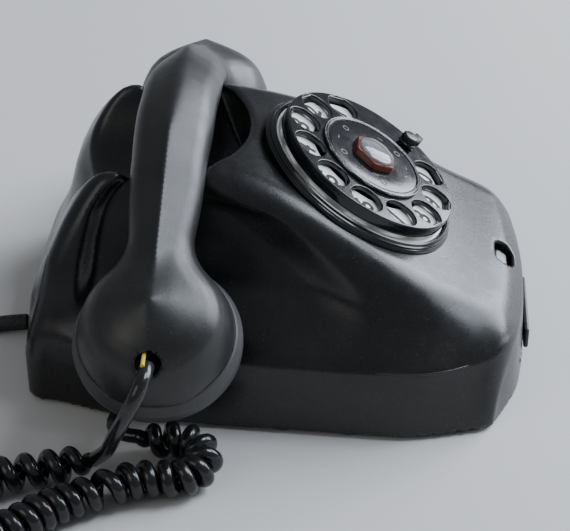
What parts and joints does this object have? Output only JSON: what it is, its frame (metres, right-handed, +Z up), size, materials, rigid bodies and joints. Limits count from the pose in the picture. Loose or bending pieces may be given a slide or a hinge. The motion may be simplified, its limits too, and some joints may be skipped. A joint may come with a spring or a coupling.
{
  "type": "rotary telephone",
  "caption": "Black rotary desk telephone: finger wheel dial, lift-off handset on a finned cradle, curly handset cord, line cord with plug, bell ringer inside.",
  "frame": {"origin": "on the table, under the middle of the telephone without its cords", "axes": "+X the user's right along the handset, +Y to the rear, +Z up"},
  "size_m": [0.2666, 0.3233, 0.1124],
  "materials": {
    "bakelite": "semi-gloss black bakelite with light wear",
    "handset_black": "satin black moulding",
    "wheel_black": "gloss black enamel",
    "dial_white": "white enamel with black figures",
    "bezel_black": "gloss black",
    "bright_steel": "plain steel",
    "plated_brass": "polished brass",
    "bell_steel": "nickel plated",
    "amber": "clear amber",
    "clear": "clear domed cap",
    "rubber": "matt",
    "stop_black": "knurled black",
    "inner_card": "brown laminated board",
    "winding": "varnished winding",
    "tray_black": "satin black",
    "curl_plastic": "glossy black jacket",
    "cord_black": "braided black jacket",
    "plug_black": "moulded black"
  },
  "bodies": {
    "base": {"housing_shell": "bakelite", "base_plate": "bright_steel", "rubber_feet": "rubber", "base_screws": "bright_steel", "dial_case": "bright_steel", "number_plate": "dial_white", "dial_bezel": "bezel_black", "return_spring": "bright_steel", "pulse_contacts": "plated_brass", "finger_stop": "stop_black", "hook_bracket": "bright_steel", "lever_pin": "bright_steel", "hook_contacts": "plated_brass", "gong_left": "bell_steel", "gong_right": "bell_steel", "gong_posts": "bright_steel", "gong_nuts": "bright_steel", "ringer_frame": "bright_steel", "ringer_coils": "winding", "clapper_pin": "bright_steel", "capacitor": "bright_steel", "induction_coil": "winding", "terminal_block": "inner_card", "terminal_screws": "plated_brass", "tray_rails": "bright_steel", "button_contacts": "plated_brass", "line_gland": "plug_black", "lead_gland": "plug_black", "handset_cord_curl": "curl_plastic", "handset_cord_lead": "curl_plastic", "line_cord": "cord_black", "line_cord_coil": "cord_black", "line_cord_end": "cord_black", "line_plug": "plug_black", "plug_pins": "plated_brass"},
    "dial_rotor": {"finger_wheel": "wheel_black", "hub_disc": "wheel_black", "hub_hex_ring": "amber", "hub_lens": "clear", "main_shaft": "bright_steel", "main_gear": "plated_brass"},
    "governor": {"governor_shaft": "bright_steel", "governor_weights": "plated_brass", "governor_pinion": "plated_brass"},
    "handset": {"handset_body": "handset_black", "mouthpiece_cap": "handset_black", "earpiece_cap": "handset_black", "microphone_capsule": "bright_steel", "receiver_capsule": "bright_steel", "handset_cord_tail": "curl_plastic"},
    "plunger_left": {"plunger_left": "stop_black"},
    "plunger_right": {"plunger_right": "stop_black"},
    "hook_lever": {"hook_lever": "bright_steel"},
    "clapper": {"clapper": "bright_steel"},
    "note_tray": {"note_tray": "tray_black"},
    "front_button": {"front_button": "stop_black"}
  },
  "joints": [
    {"name": "dial_turn", "type": "hinge", "parent": "base", "child": "dial_rotor", "pos_m": [0, -0.033, 0.0768], "axis": [0, -0.527, 0.8499], "range_deg": [-318, 0], "stiffness_Nm_per_rad": 0.005, "springref_deg": 171.89},
    {"name": "governor_spin", "type": "hinge", "parent": "base", "child": "governor", "pos_m": [-0.012, -0.05067, 0.06585], "axis": [0, -0.527, 0.8499], "range_deg": [-1, 1273]},
    {"name": "handset_lift", "type": "slide", "parent": "base", "child": "handset", "axis": [0, 0, 1], "range_m": [0, 0.08]},
    {"name": "plunger_left_rise", "type": "slide", "parent": "base", "child": "plunger_left", "axis": [0, 0, 1], "range_m": [0, 0.0036]},
    {"name": "plunger_right_rise", "type": "slide", "parent": "base", "child": "plunger_right", "axis": [0, 0, 1], "range_m": [0, 0.0036]},
    {"name": "hook_lever_turn", "type": "hinge", "parent": "base", "child": "hook_lever", "pos_m": [0, 0.027, 0.047], "axis": [1, 0, 0], "range_deg": [0, 12.6]},
    {"name": "clapper_swing", "type": "hinge", "parent": "base", "child": "clapper", "pos_m": [0, 0.031, 0.026], "axis": [0, 0, 1], "range_deg": [-6, 6], "stiffness_Nm_per_rad": 0.01},
    {"name": "tray_slide", "type": "slide", "parent": "base", "child": "note_tray", "axis": [0, -1, 0], "range_m": [0, 0.05]},
    {"name": "button_press", "type": "slide", "parent": "base", "child": "front_button", "axis": [0, 0.5299, -0.848], "range_m": [0, 0.002], "stiffness_N_per_m": 300, "springref_m": -0.001}
  ],
  "couplings": [
    {"joint": "governor_spin", "follows": "dial_turn", "ratio": -4},
    {"joint": "plunger_left_rise", "follows": "handset_lift", "ratio": 0.04375},
    {"joint": "plunger_right_rise", "follows": "handset_lift", "ratio": 0.04375},
    {"joint": "hook_lever_turn", "follows": "handset_lift", "rad_per_m": 2.7}
  ]
}
